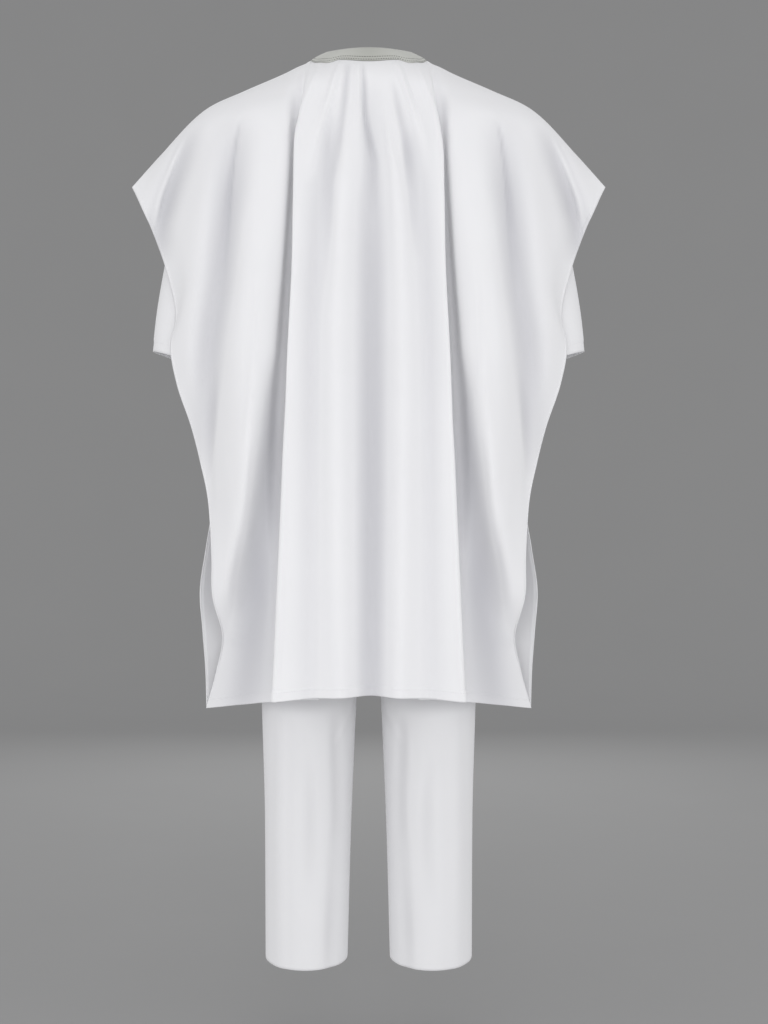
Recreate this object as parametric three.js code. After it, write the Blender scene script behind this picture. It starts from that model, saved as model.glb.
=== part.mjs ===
// A three-piece kaftan set, as it hangs when worn: a wide open-sided robe with a stand-up neckband, over a
// short-sleeved tunic and straight trousers. Millimetres, +Z up. The wearer faces +Y, so the back of the set
// faces -Y, and the wearer's left is -X. The origin is the middle of the neck at the height of the shoulders.
import * as THREE from "three";

// Driving sizes
const ROBE_WALL = 1.6;
const TUNIC_WALL = 1.6;
const TROUSER_WALL = 1.6;
const BAND_WALL = 2.2;
const SEAM_GAP = 0.3;

const NECK_HALF_WIDTH = 93;
const NECK_BACK_DEPTH = 88;
const NECK_FRONT_DEPTH = 86;
const BAND_TOP_HALF_WIDTH = 68;
const BAND_TOP_BACK_DEPTH = 76;
const BAND_TOP_FRONT_DEPTH = 68;
const BAND_RISE_SIDE = 16;
const BAND_RISE_BACK = 24;
const BAND_RISE_FRONT = 22;

const HEM_HEIGHT = -1012;
const HEM_CORNER_HEIGHT = -1047;
const HEM_PLEAT_DIP = 8;

const BACK = -1;
const FRONT = 1;
const LEFT = -1;
const RIGHT = 1;

const ROBE_ROWS = 26;
const CROWD_AT_TOP = 1.5;

const white = { color: 0xe6e6e9, roughness: 0.75, metalness: 0 };
const grey = { color: 0xb9bab2, roughness: 0.8, metalness: 0 };

// Small tools

const vec = (x, y, z) => new THREE.Vector3(x, y, z);
const rad = THREE.MathUtils.degToRad;
const mix = THREE.MathUtils.lerp;
const ease = THREE.MathUtils.smoothstep;

// The value of one column of a table at height z, eased through its rows, which run from high to low.
function column(rows, name, z) {
  const last = rows.length - 1;
  if (z >= rows[0].z) return rows[0][name];
  if (z <= rows[last].z) return rows[last][name];
  const i = rows.findIndex((row) => row.z < z) - 1;
  const secant = (k) => (rows[k + 1][name] - rows[k][name]) / (rows[k + 1].z - rows[k].z);
  const slope = (k) => {
    const above = secant(Math.max(k - 1, 0));
    const below = secant(Math.min(k, last - 1));
    return above * below > 0 ? (2 * above * below) / (above + below) : 0;
  };
  const span = rows[i + 1].z - rows[i].z;
  const t = (z - rows[i].z) / span;
  const a = rows[i][name];
  const b = rows[i + 1][name];
  const bend = slope(i) * span * t * (1 - t) ** 2 - slope(i + 1) * span * t ** 2 * (1 - t);
  return a + (b - a) * t * t * (3 - 2 * t) + bend;
}

const smooth = (points) => new THREE.CatmullRomCurve3(points, false, "centripetal");
const spread = (from, to, count) => Array.from({ length: count + 1 }, (_, i) => mix(from, to, i / count));

const key = (p) => [p.x, p.y, p.z].map((n) => Math.round(n * 100)).join(",");

// A closed wall of cloth around grids of points. Points that coincide are one, which joins the grids
// to each other or closes a tube, and every free edge gets a rim. The grids `beside` it are strips of the
// pieces sewn to it, which only turn its rims so that the two rims of a seam lie parallel.
function clothWall(grids, wall, beside) {
  const points = [];
  const index = new Map();
  const place = (p) => {
    if (!index.has(key(p))) {
      index.set(key(p), points.length);
      points.push(p);
    }
    return index.get(key(p));
  };
  const facesOf = (grid) => {
    const ids = grid.map((row) => row.map(place));
    return ids.slice(1).flatMap((below, r) => below.slice(1).flatMap((e, c) => {
      const [a, b, d] = [ids[r][c], ids[r][c + 1], below[c]];
      const onLeft = points[a].x + points[e].x < 0;
      const split = onLeft ? [[b, e, d], [b, d, a]] : [[a, b, e], [a, e, d]];
      return split.filter((face) => new Set(face).size === 3);
    }));
  };
  const solidFaces = grids.flatMap(facesOf);
  const normals = points.map(() => vec(0, 0, 0));
  const n = points.length;
  for (const face of [...solidFaces, ...beside.flatMap(facesOf)]) {
    const [a, b, c] = face.map((corner) => points[corner]);
    const normal = b.clone().sub(a).cross(c.clone().sub(a));
    for (const corner of face) normals[corner]?.add(normal);
  }
  const edges = new Set(solidFaces.flatMap(([a, b, c]) => [`${a} ${b}`, `${b} ${c}`, `${c} ${a}`]));
  const free = [...edges]
    .map((edge) => edge.split(" ").map(Number))
    .filter(([a, b]) => !edges.has(`${b} ${a}`));
  for (const corner of new Set(free.flat())) {
    if (Math.abs(points[corner].y) < SEAM_GAP) normals[corner].y = 0;
    if (Math.abs(points[corner].x) < SEAM_GAP) normals[corner].x = 0;
  }
  normals.forEach((normal) => normal.normalize());
  points.length = n;
  const outer = points.map((p, i) => p.clone().addScaledVector(normals[i], wall / 2));
  const inner = points.map((p, i) => p.clone().addScaledVector(normals[i], -wall / 2));
  const rim = free.flatMap(([a, b]) => (points[b].z < points[a].z
    ? [[b, a, a + n], [b, a + n, b + n]]
    : [[b, a, b + n], [a, a + n, b + n]]));
  const all = [...solidFaces, ...solidFaces.map(([a, b, c]) => [a + n, c + n, b + n]), ...rim];
  const geometry = new THREE.BufferGeometry();
  const positions = [...outer, ...inner].flatMap((p) => p.toArray());
  geometry.setAttribute("position", new THREE.Float32BufferAttribute(positions, 3));
  geometry.setIndex(all.flat());
  geometry.computeVertexNormals();
  return geometry;
}

const turned = (grid) => grid.map((row) => [...row].reverse());
const strip = (left, right) => left.map((row, i) => [row, right[i]]);
const columnOf = (grid, place) => grid.map((row) => row.at(place));

function piece(name, grids, wall, finish, beside = []) {
  const mesh = new THREE.Mesh(clothWall(grids, wall, beside), new THREE.MeshStandardMaterial(finish));
  mesh.name = name;
  return mesh;
}

// The robe's form

// The lines down the cloth from the middle to the side, on the back. Each starts over the shoulders at
// `top`, where `slant` is how straight it slopes away and 0 rounds over like the cloth on an arm, and then
// passes each of the LEVELS and the hem at the distances `out` and `deep` from the middle. Between
// `pleat_edge` and `wing_start` the cloth turns under the middle panel and out again.
const LEVELS = [-90, -160, -235, -350, -490, -605, -720, -835, -925];
const LINES = [
  {
    line: "middle", top: { out: 0, z: 8, slant: 0 },
    out: [0, 0, 0, 0, 0, 0, 0, 0, 0, 0],
    deep: [121, 138, 147, 151, 152, 153, 155, 157, 158, 160],
  },
  {
    line: "inner", top: { out: 39, z: 5, slant: 0 },
    out: [41, 45, 46, 47, 50, 51, 53, 55, 56, 58],
    deep: [121, 138, 147, 151, 152, 153, 155, 157, 158, 160],
  },
  {
    line: "outer", top: { out: 66, z: -3, slant: 0.06 },
    out: [72, 78, 79, 81, 85, 88, 91, 94, 97, 100],
    deep: [120, 138, 148, 152, 153, 154, 156, 158, 159, 161],
  },
  {
    line: "pleat_edge", top: { out: 84, z: -2, slant: 0.25 },
    out: [101, 113, 115, 117, 124, 128, 132, 137, 141, 146],
    deep: [117, 139, 150, 154, 155, 156, 157, 159, 160, 162],
  },
  {
    line: "pleat_under", top: { out: 89, z: -1, slant: 0.25 },
    out: [103, 110, 110, 111, 117, 121, 125, 130, 134, 139],
    deep: [109, 129, 139, 142, 143, 144, 145, 147, 148, 150],
  },
  {
    line: "pleat_root", top: { out: 94, z: 0, slant: 0.25 },
    out: [100, 101, 98, 95, 92, 89, 86, 83, 80, 77],
    deep: [103, 123, 132, 133, 133, 133, 132, 132, 131, 130],
  },
  {
    line: "pleat_back", top: { out: 101, z: -4, slant: 0.25 },
    out: [104, 107, 105, 102, 100, 97, 94, 91, 88, 85],
    deep: [98, 117, 123, 122, 120, 119, 118, 117, 116, 115],
  },
  {
    line: "recess", top: { out: 114, z: -10, slant: 0.22 },
    out: [113, 117, 119, 125, 133, 138, 140, 142, 144, 146],
    deep: [100, 119, 122, 120, 118, 116, 112, 107, 102, 96],
  },
  {
    line: "wing_start", top: { out: 135, z: -20, slant: 0.18 },
    out: [131, 126, 129, 136, 147, 151, 156, 160, 163, 166],
    deep: [108, 133, 142, 145, 143, 135, 120, 104, 95, 86],
  },
  {
    line: "blade", top: { out: 200, z: -51, slant: 0.08 },
    out: [199, 197, 194, 190, 192, 186, 180, 180, 180, 190],
    deep: [82, 126, 143, 149, 147, 138, 118, 94, 82, 71],
  },
  {
    line: "shoulder", top: { out: 264, z: -82, slant: 0 },
    out: [262, 258, 250, 238, 238, 222, 206, 202, 200, 215],
    deep: [22, 88, 118, 130, 128, 121, 103, 79, 65, 49],
  },
  {
    line: "elbow", top: { out: 324, z: -139, slant: 0 },
    out: [322, 318, 306, 283, 276, 252, 230, 226, 219, 240],
    deep: [0, 28, 66, 98, 106, 101, 87, 67, 50, 26],
  },
];
const PLEAT_UNDER = 4;
const PLEAT_ROOT = 5;
const PLEAT_HALF_WIDTH = 146;
const ROOT_HALF_WIDTH = 77;
const CORNER_HALF_WIDTH = 262;
const EDGE = LINES.length;
const WING_COLUMNS = 12;
const FADE = 0.05;
const SLIVER = 0.4;
const ROUNDING_ANGLES = [12, 36, 62];
const ROUNDING_DROP = 70;
const NECK_CUT_LIMIT = 0.2;
const HALVINGS = 20;
const BACK_COLUMNS = 26;
const FRONT_COLUMNS = 18;
const SEAM = PLEAT_UNDER + 0.5;

const WING_TIP = { out: 383, z: -204 };

// The wing's free side edge, from its tip to the corner of the hem, where back and front are tacked together.
const BACK_EDGE = [
  { z: -235, out: 367, deep: 16 },
  { z: -290, out: 343, deep: 34 },
  { z: -345, out: 321, deep: 50 },
  { z: -420, out: 304, deep: 62 },
  { z: -470, out: 312, deep: 69 },
  { z: -527, out: 302, deep: 73 },
  { z: -600, out: 278, deep: 75 },
  { z: -718, out: 251, deep: 74 },
  { z: -800, out: 245, deep: 68 },
  { z: -860, out: 245, deep: 58 },
  { z: -925, out: 233, deep: 42 },
  { z: -985, out: 244, deep: 18 },
  { z: HEM_CORNER_HEIGHT, out: 262, deep: 1.5 },
];
const FRONT_EDGE = [
  { z: -235, out: 368, deep: 18 },
  { z: -290, out: 346, deep: 38 },
  { z: -345, out: 322, deep: 54 },
  { z: -470, out: 300, deep: 70 },
  { z: -600, out: 268, deep: 72 },
  { z: -725, out: 261, deep: 68 },
  { z: -790, out: 270, deep: 62 },
  { z: -860, out: 279, deep: 52 },
  { z: -925, out: 273, deep: 38 },
  { z: -985, out: 266, deep: 18 },
  { z: HEM_CORNER_HEIGHT, out: 262, deep: 1.5 },
];

// The front of the body is flatter than the back at the top of the chest: the share of the back's depth.
const FRONT_SHARE = [
  { z: -90, share: 0.82 },
  { z: -160, share: 0.92 },
  { z: -260, share: 1 },
];

// Soft folds. `high` is how far the fold stands out, or in if it is negative, at each height. `inner` and
// `outer` are its widths towards the middle and towards the side. The middle panel's `x` is signed, the
// wing's is outward.
const MIDDLE_FOLDS = [
  {
    fold: "middle_trough", inner: 32, outer: 32,
    path: [
      { z: -40, x: -10, high: 0 },
      { z: -100, x: -5, high: -7 },
      { z: -190, x: 5, high: -12 },
      { z: -400, x: 5, high: -15 },
      { z: -700, x: 7, high: -18 },
      { z: -1020, x: 0, high: -22 },
    ],
  },
  {
    fold: "left_ridge", inner: 26, outer: 26,
    path: [
      { z: -60, x: -26, high: 0 },
      { z: -140, x: -31, high: 6 },
      { z: -300, x: -42, high: 9 },
      { z: -470, x: -57, high: 10 },
      { z: -700, x: -49, high: 11 },
      { z: -1020, x: -48, high: 6 },
    ],
  },
  {
    fold: "right_ridge", inner: 26, outer: 26,
    path: [
      { z: -80, x: 22, high: 0 },
      { z: -160, x: 30, high: 5 },
      { z: -300, x: 50, high: 9 },
      { z: -480, x: 61, high: 9 },
      { z: -700, x: 50, high: 11 },
      { z: -1020, x: 54, high: 6 },
    ],
  },
  {
    fold: "left_trough", inner: 20, outer: 22,
    path: [
      { z: -60, x: -56, high: 0 },
      { z: -150, x: -62, high: -6 },
      { z: -300, x: -74, high: -8 },
      { z: -480, x: -84, high: -5 },
      { z: -700, x: -84, high: 0 },
    ],
  },
  {
    fold: "right_trough", inner: 22, outer: 18,
    path: [
      { z: -60, x: 62, high: 0 },
      { z: -150, x: 74, high: -6 },
      { z: -300, x: 82, high: -7 },
      { z: -480, x: 90, high: -4 },
      { z: -700, x: 90, high: 0 },
    ],
  },
];
const WING_FOLDS = [
  {
    fold: "sweep", inner: 38, outer: 64,
    path: [
      { z: -230, x: 156, high: 0 },
      { z: -345, x: 166, high: 11 },
      { z: -490, x: 178, high: 13 },
      { z: -585, x: 189, high: 18 },
      { z: -665, x: 209, high: 27 },
      { z: -750, x: 234, high: 34 },
      { z: -850, x: 243, high: 28 },
      { z: -940, x: 236, high: 0 },
    ],
  },
  {
    fold: "armpit_trough", inner: 30, outer: 30,
    path: [
      { z: -110, x: 205, high: 0 },
      { z: -170, x: 210, high: -11 },
      { z: -255, x: 216, high: -17 },
      { z: -370, x: 228, high: -17 },
      { z: -465, x: 243, high: -17 },
      { z: -550, x: 254, high: -14 },
      { z: -690, x: 262, high: 0 },
    ],
  },
  {
    fold: "cap_trough", inner: 26, outer: 26,
    path: [
      { z: -120, x: 282, high: 0 },
      { z: -170, x: 300, high: -13 },
      { z: -240, x: 324, high: -18 },
      { z: -290, x: 334, high: -13 },
      { z: -340, x: 334, high: 0 },
    ],
  },
];

// How far one list of folds moves the cloth at a point.
function folding(folds, x, z) {
  return folds.reduce((sum, { path, inner, outer }) => {
    const aside = x - column(path, "x", z);
    const width = aside * Math.sign(column(path, "x", z) || 1) < 0 ? inner : outer;
    const reach = Math.min(1, Math.abs(aside) / (2 * width));
    return sum + column(path, "high", z) * Math.cos((reach * Math.PI) / 2) ** 4;
  }, 0);
}

// One line down the robe on its back or front, as a smooth curve on the wearer's right.
function robeLine(number, face) {
  const toPoint = ({ out, deep, z }) => vec(out, face * deep, z);
  if (number === EDGE) {
    return smooth([{ ...WING_TIP, deep: 0 }, ...(face === BACK ? BACK_EDGE : FRONT_EDGE)].map(toPoint));
  }
  const { top, out, deep } = LINES[number];
  const share = (z) => (face === BACK ? 1 : column(FRONT_SHARE, "share", z));
  const wide = out.at(-1);
  const wingShare = (wide - ROOT_HALF_WIDTH) / (CORNER_HALF_WIDTH - ROOT_HALF_WIDTH);
  const hem = number <= PLEAT_UNDER
    ? HEM_HEIGHT - HEM_PLEAT_DIP * (wide / PLEAT_HALF_WIDTH) ** 2
    : mix(HEM_HEIGHT - HEM_PLEAT_DIP, HEM_CORNER_HEIGHT, wingShare ** 1.5);
  const levels = [...LEVELS, hem].map((z, i) => ({ out: out[i], deep: deep[i] * share(z), z }));
  const below = levels.filter(({ z }) => z < top.z - ROUNDING_DROP);
  return smooth([{ ...top, deep: 0 }, ...rounding(top, below[0]), ...below].map(toPoint));
}

// Stations between the top of a line and its first level, which round over as a quarter of an ellipse.
function rounding(top, first) {
  return ROUNDING_ANGLES.map((angle) => {
    const over = Math.sin(rad(angle));
    const drop = 1 - Math.cos(rad(angle));
    return {
      out: mix(top.out, first.out, (over + drop) / 2),
      deep: mix(0, first.deep, over),
      z: mix(top.z, first.z, mix(drop, over, top.slant)),
    };
  });
}

// The cloth of one face as two functions. In `at`, `place` counts the lines from the middle, negative on
// the wearer's left, and `share` is how far down the lines the point is. `trim` is half the seam's gap as a
// place.
function robeCloth(face) {
  const lines = Array.from({ length: EDGE + 1 }, (_, number) => robeLine(number, face));
  const rows = new Map();
  const rowAt = (share) => {
    if (!rows.has(share)) {
      const right = lines.map((line) => line.getPointAt(share));
      const left = right.slice(1).map((p) => vec(-p.x, p.y, p.z)).reverse();
      const apart = right[PLEAT_UNDER].distanceTo(right[PLEAT_ROOT]);
      rows.set(share, { curve: smooth([...left, ...right]), trim: SEAM_GAP / 2 / apart });
    }
    return rows.get(share);
  };
  return {
    at: (place, share) => rowAt(share).curve.getPoint((place + EDGE) / (2 * EDGE)),
    trim: (share) => rowAt(share).trim,
  };
}

// How far down a column the neckline cuts it, found by halving.
function neckCut(pointAt, face) {
  const depth = face === BACK ? NECK_BACK_DEPTH : NECK_FRONT_DEPTH;
  const inside = (share) => {
    const p = pointAt(share);
    return (p.x / NECK_HALF_WIDTH) ** 2 + (p.y / depth) ** 2 < 1;
  };
  if (!inside(0)) return 0;
  let [low, high] = [0, NECK_CUT_LIMIT];
  for (let step = 0; step < HALVINGS; step += 1) {
    const middle = (low + high) / 2;
    if (inside(middle)) low = middle;
    else high = middle;
  }
  return high;
}

// A point with its folds, which fade out at the neckline and the shoulder fold.
function folded(p, face, fade) {
  const wing = folding(WING_FOLDS, Math.abs(p.x), p.z);
  const middle = folding(MIDDLE_FOLDS, -face * p.x, p.z);
  return vec(p.x, p.y + face * fade * (wing + middle), p.z);
}

// A grid of the cloth. `places` gives the list of its columns' places for each share of the way down. Rows
// above the neckline shrink into it.
function robeGrid(cloth, face, places) {
  const shares = spread(0, 1, ROBE_ROWS).map((share) => share ** CROWD_AT_TOP);
  const columns = places(0).map((_, i) => {
    const pointAt = (share) => cloth.at(places(share)[i], share);
    const start = neckCut(pointAt, face);
    return shares.map((share, row) => {
      const next = shares[row + 1] ?? 2;
      if (share - start < SLIVER * (next - share)) return pointAt(start);
      return folded(pointAt(share), face, ease(share - start, 0, FADE));
    });
  });
  return shares.map((_, row) => columns.map((points) => points[row]));
}

// One face of the robe as three grids, all from the wearer's left to right. The middle panel ends at its two
// seams, which lie out of sight inside the pleats, and the wings run on from there to their free edges.
function robeFace(face, middleColumns) {
  const cloth = robeCloth(face);
  const wing = (share) => [SEAM + cloth.trim(share), ...spread(PLEAT_ROOT, EDGE, WING_COLUMNS)];
  const middle = (share) => spread(cloth.trim(share) - SEAM, SEAM - cloth.trim(share), middleColumns);
  return {
    left: robeGrid(cloth, face, (share) => wing(share).map((place) => -place).reverse()),
    middle: robeGrid(cloth, face, middle),
    right: robeGrid(cloth, face, wing),
  };
}

// The strips that show how a face's cloth runs on beyond each piece's seam.
const besideMiddle = ({ left, middle, right }) => [
  strip(columnOf(left, -2), columnOf(middle, 0)),
  strip(columnOf(middle, -1), columnOf(right, 1)),
];
const besideLeft = ({ left, middle }) => strip(columnOf(left, -1), columnOf(middle, 1));
const besideRight = ({ right, middle }) => strip(columnOf(middle, -2), columnOf(right, 0));

// The neckband

// It stands on the neckline and leans in to its smaller top. Its foot follows the cut edges of the cloth.
const BAND_LIFT = ROBE_WALL / 2 + SEAM_GAP + 0.5;
const BAND_SWELL = 2;
const BAND_ROWS = 2;

function neckband(backNeckline, frontNeckline) {
  const shoulder = (side) => vec(side * NECK_HALF_WIDTH, 0, 0);
  const foot = [
    shoulder(LEFT), ...backNeckline,
    shoulder(RIGHT), ...[...frontNeckline].reverse(), shoulder(LEFT),
  ];
  return spread(0, 1, BAND_ROWS).map((t) => foot.map((p) => {
    const face = p.y < 0 ? BACK : FRONT;
    const turn = Math.acos(THREE.MathUtils.clamp(Math.abs(p.x) / NECK_HALF_WIDTH, 0, 1));
    const depth = face === BACK ? BAND_TOP_BACK_DEPTH : BAND_TOP_FRONT_DEPTH;
    const middle = face === BACK ? BAND_RISE_BACK : BAND_RISE_FRONT;
    const along = Math.sin(turn) ** 2;
    const top = vec(
      (p.x / NECK_HALF_WIDTH) * BAND_TOP_HALF_WIDTH,
      face * depth * Math.sin(turn),
      p.z + BAND_LIFT + mix(BAND_RISE_SIDE, middle, along),
    );
    const base = vec(p.x, p.y, p.z + BAND_LIFT);
    const swell = BAND_SWELL * Math.sin(t * Math.PI);
    const outward = vec(Math.sign(p.x) * Math.cos(turn), face * Math.sin(turn), 0);
    return base.lerp(top, t).addScaledVector(outward, swell);
  }));
}

// The tunic

// Lines down one half of the tunic's back from its middle to the shoulder, as distances out and deep at
// each level.
const TUNIC_HEM = -900;
const TUNIC_LEVELS = [-100, -168, -265, -400, -560, -740, TUNIC_HEM];
const TUNIC_LINES = [
  {
    line: "middle", top: { out: 0, deep: 84, z: -40 },
    out: [0, 0, 0, 0, 0, 0, 0],
    deep: [103, 114, 118, 117, 115, 115, 116],
  },
  {
    line: "neck_side", top: { out: 58, deep: 60, z: -38 },
    out: [56, 56, 56, 56, 58, 60, 62],
    deep: [100, 113, 117, 115, 113, 113, 114],
  },
  {
    line: "neck_point", top: { out: 98, deep: 0, z: -9 },
    out: [99, 100, 102, 102, 105, 108, 112],
    deep: [88, 106, 111, 108, 106, 105, 105],
  },
  {
    line: "shoulder", top: { out: 148, deep: 0, z: -33 },
    out: [148, 147, 148, 147, 150, 155, 161],
    deep: [68, 92, 98, 94, 90, 87, 86],
  },
];
const ARMHOLE = { out: 195, z: -168, tilt: 82, half_height: 97, half_depth: 74 };
const SIDE_SEAM = [
  { z: -300, out: 180 },
  { z: -400, out: 180 },
  { z: -560, out: 185 },
  { z: -740, out: 191 },
  { z: TUNIC_HEM, out: 198 },
];
const TUNIC_ROWS = 11;
const TUNIC_COLUMNS = 16;
const TUNIC_CROWD_AT_TOP = 1.3;
const TUNIC_FRONT_DROP = 60;
const TUNIC_ROUNDING_DROP = 30;
const TUNIC_ROUNDING = { out: 0.3, deep: 0.72, z: 0.4 };

function tunicPanel(face) {
  const lines = TUNIC_LINES.map(({ top, out, deep }) => {
    const share = (z) => (face === BACK ? 1 : column(FRONT_SHARE, "share", z));
    const drop = face === FRONT && top.deep > 0 ? TUNIC_FRONT_DROP : 0;
    const start = { ...top, z: top.z - drop * (top.deep / TUNIC_LINES[0].top.deep) };
    const levels = TUNIC_LEVELS
      .map((z, i) => ({ out: out[i], deep: deep[i] * share(z), z }))
      .filter(({ z }) => z < start.z - TUNIC_ROUNDING_DROP);
    const half = {
      out: mix(start.out, levels[0].out, TUNIC_ROUNDING.out),
      deep: mix(start.deep, levels[0].deep, TUNIC_ROUNDING.deep),
      z: mix(start.z, levels[0].z, TUNIC_ROUNDING.z),
    };
    return smooth([start, half, ...levels].map((at) => vec(at.out, face * at.deep, at.z)));
  });
  const armhole = [90, 60, 30, 0, -30, -60, -88].map((angle) => {
    const tall = ARMHOLE.half_height * Math.sin(rad(angle));
    return vec(
      ARMHOLE.out + tall * Math.cos(rad(ARMHOLE.tilt)),
      face * (SEAM_GAP / 2 + ARMHOLE.half_depth * Math.cos(rad(angle))),
      ARMHOLE.z + tall * Math.sin(rad(ARMHOLE.tilt)),
    );
  });
  const seam = SIDE_SEAM.map(({ z, out }) => vec(out, (face * SEAM_GAP) / 2, z));
  lines.push(smooth([...armhole, ...seam]));
  return spread(0, 1, TUNIC_ROWS).map((share) => {
    const points = lines.map((line) => line.getPointAt(share ** TUNIC_CROWD_AT_TOP));
    const row = smooth([...points.slice(1).map((p) => vec(-p.x, p.y, p.z)).reverse(), ...points]);
    return spread(0, 1, TUNIC_COLUMNS).map((place) => {
      const { x, y, z } = row.getPoint(place);
      return vec(x, face * Math.max(face * y, SEAM_GAP / 2), z);
    });
  });
}

// The sleeve's rings, from the armhole to the hem: where each lies, how it is tilted and how wide it is.
const SLEEVE_RINGS = [
  { out: 196.8, z: -168.3, tilt: 82, half_width: 97, half_depth: 74 },
  { out: 224, z: -192, tilt: 62, half_width: 88, half_depth: 70 },
  { out: 243, z: -250, tilt: 40, half_width: 78, half_depth: 66 },
  { out: 263, z: -348, tilt: 24, half_width: 70, half_depth: 61 },
  { out: 277, z: -425, tilt: 18, half_width: 68, half_depth: 58 },
  { out: 287, z: -489, tilt: 17, half_width: 65, half_depth: 56 },
];
const SLEEVE_ROWS = 7;
const SLEEVE_COLUMNS = 20;

function sleeve(side) {
  const lines = Array.from({ length: SLEEVE_COLUMNS }, (_, i) => {
    const angle = (i / SLEEVE_COLUMNS) * 2 * Math.PI;
    const stations = SLEEVE_RINGS.map((ring) => {
      const wide = ring.half_width * Math.cos(angle);
      const tilt = rad(ring.tilt);
      return vec(
        side * (ring.out + wide * Math.cos(tilt)),
        ring.half_depth * Math.sin(angle),
        ring.z + wide * Math.sin(tilt),
      );
    });
    return smooth(stations).getPoints(SLEEVE_ROWS);
  });
  lines.push(lines[0]);
  const grid = Array.from({ length: SLEEVE_ROWS + 1 }, (_, row) => lines.map((line) => line[row]));
  return [side === RIGHT ? grid : turned(grid)];
}

// The trousers

// Sections of the trousers, each half from its outer seam round to its inner one. `leg` is how far the half
// has turned from half of the hips, which are `back` and `front` deep, into a closed leg, which is `bulge`
// deep.
const TROUSER_SECTIONS = [
  { z: -470, outseam: 158, inner: 0.15, back: 92, front: 96, bulge: 50, leg: 0 },
  { z: -560, outseam: 166, inner: 0.15, back: 101, front: 100, bulge: 60, leg: 0 },
  { z: -640, outseam: 173, inner: 0.15, back: 104, front: 99, bulge: 76, leg: 0.05 },
  { z: -710, outseam: 176, inner: 1, back: 103, front: 98, bulge: 88, leg: 0.35 },
  { z: -750, outseam: 177, inner: 3, back: 102, front: 97, bulge: 86, leg: 0.75 },
  { z: -790, outseam: 177, inner: 8, back: 100, front: 96, bulge: 84, leg: 1 },
  { z: -900, outseam: 175, inner: 15, back: 100, front: 96, bulge: 82, leg: 1 },
  { z: -1040, outseam: 172, inner: 21, back: 100, front: 96, bulge: 77, leg: 1 },
  { z: -1230, outseam: 167, inner: 29, back: 100, front: 96, bulge: 72, leg: 1 },
  { z: -1447, outseam: 166, inner: 35, back: 100, front: 96, bulge: 70, leg: 1 },
];
const TROUSER_TOP = TROUSER_SECTIONS[0].z;
const TROUSER_HEM = TROUSER_SECTIONS.at(-1).z;
const TROUSER_ROWS = 17;
const TROUSER_COLUMNS = 8;
const TROUSER_TRIM = SEAM_GAP / 80;
const HEM_DIP = 7;
const HEM_DIP_REACH = 100;

// A point of one half of the trousers: `turn` runs from 0 at the outer seam to half a turn at the inner one.
function trouserPoint(face, side, z, turn) {
  const at = (name) => column(TROUSER_SECTIONS, name, z);
  const hips = {
    out: at("outseam") * Math.cos(turn / 2),
    deep: at(face === BACK ? "back" : "front") * Math.sin(turn / 2),
  };
  const leg = {
    out: mix(at("outseam"), at("inner"), (1 - Math.cos(turn)) / 2),
    deep: at("bulge") * Math.sin(turn),
  };
  const out = Math.max(mix(hips.out, leg.out, at("leg")), at("inner"));
  return vec(side * out, face * mix(hips.deep, leg.deep, at("leg")), z);
}

function trouserPanel(face, side) {
  const grid = Array.from({ length: TROUSER_ROWS + 1 }, (_, row) => (
    Array.from({ length: TROUSER_COLUMNS + 1 }, (_, i) => {
      const z = mix(TROUSER_TOP, TROUSER_HEM, row / TROUSER_ROWS);
      const turn = mix(TROUSER_TRIM, Math.PI - TROUSER_TRIM, i / TROUSER_COLUMNS);
      const low = 1 - ease(z, TROUSER_HEM, TROUSER_HEM + HEM_DIP_REACH);
      const dip = face === BACK ? HEM_DIP * Math.sin(turn) * low : 0;
      return trouserPoint(face, side, z, turn).add(vec(0, 0, -dip));
    })
  ));
  return [side * face === RIGHT ? grid : turned(grid)];
}

// The waistband: a ring that stands on the four trouser panels.
const WAISTBAND_HEIGHT = 38;
const WAISTBAND_ROWS = 2;

function waistband() {
  const quarter = (face, side) => Array.from({ length: TROUSER_COLUMNS + 1 }, (_, i) => (
    trouserPoint(face, side, TROUSER_TOP, (i / TROUSER_COLUMNS) * Math.PI)
  ));
  const round = [
    ...quarter(BACK, LEFT).slice(0, -1), ...quarter(BACK, RIGHT).reverse().slice(0, -1),
    ...quarter(FRONT, RIGHT).slice(0, -1), ...quarter(FRONT, LEFT).reverse(),
  ];
  return spread(TROUSER_TOP + SEAM_GAP, TROUSER_TOP + SEAM_GAP + WAISTBAND_HEIGHT, WAISTBAND_ROWS)
    .map((z) => round.map(({ x, y }) => vec(x, y, z)));
}

// Everything in its place

const back = robeFace(BACK, BACK_COLUMNS);
const front = robeFace(FRONT, FRONT_COLUMNS);
const besideLeftWing = [besideLeft(back), turned(besideLeft(front))];
const besideRightWing = [besideRight(back), turned(besideRight(front))];

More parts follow.
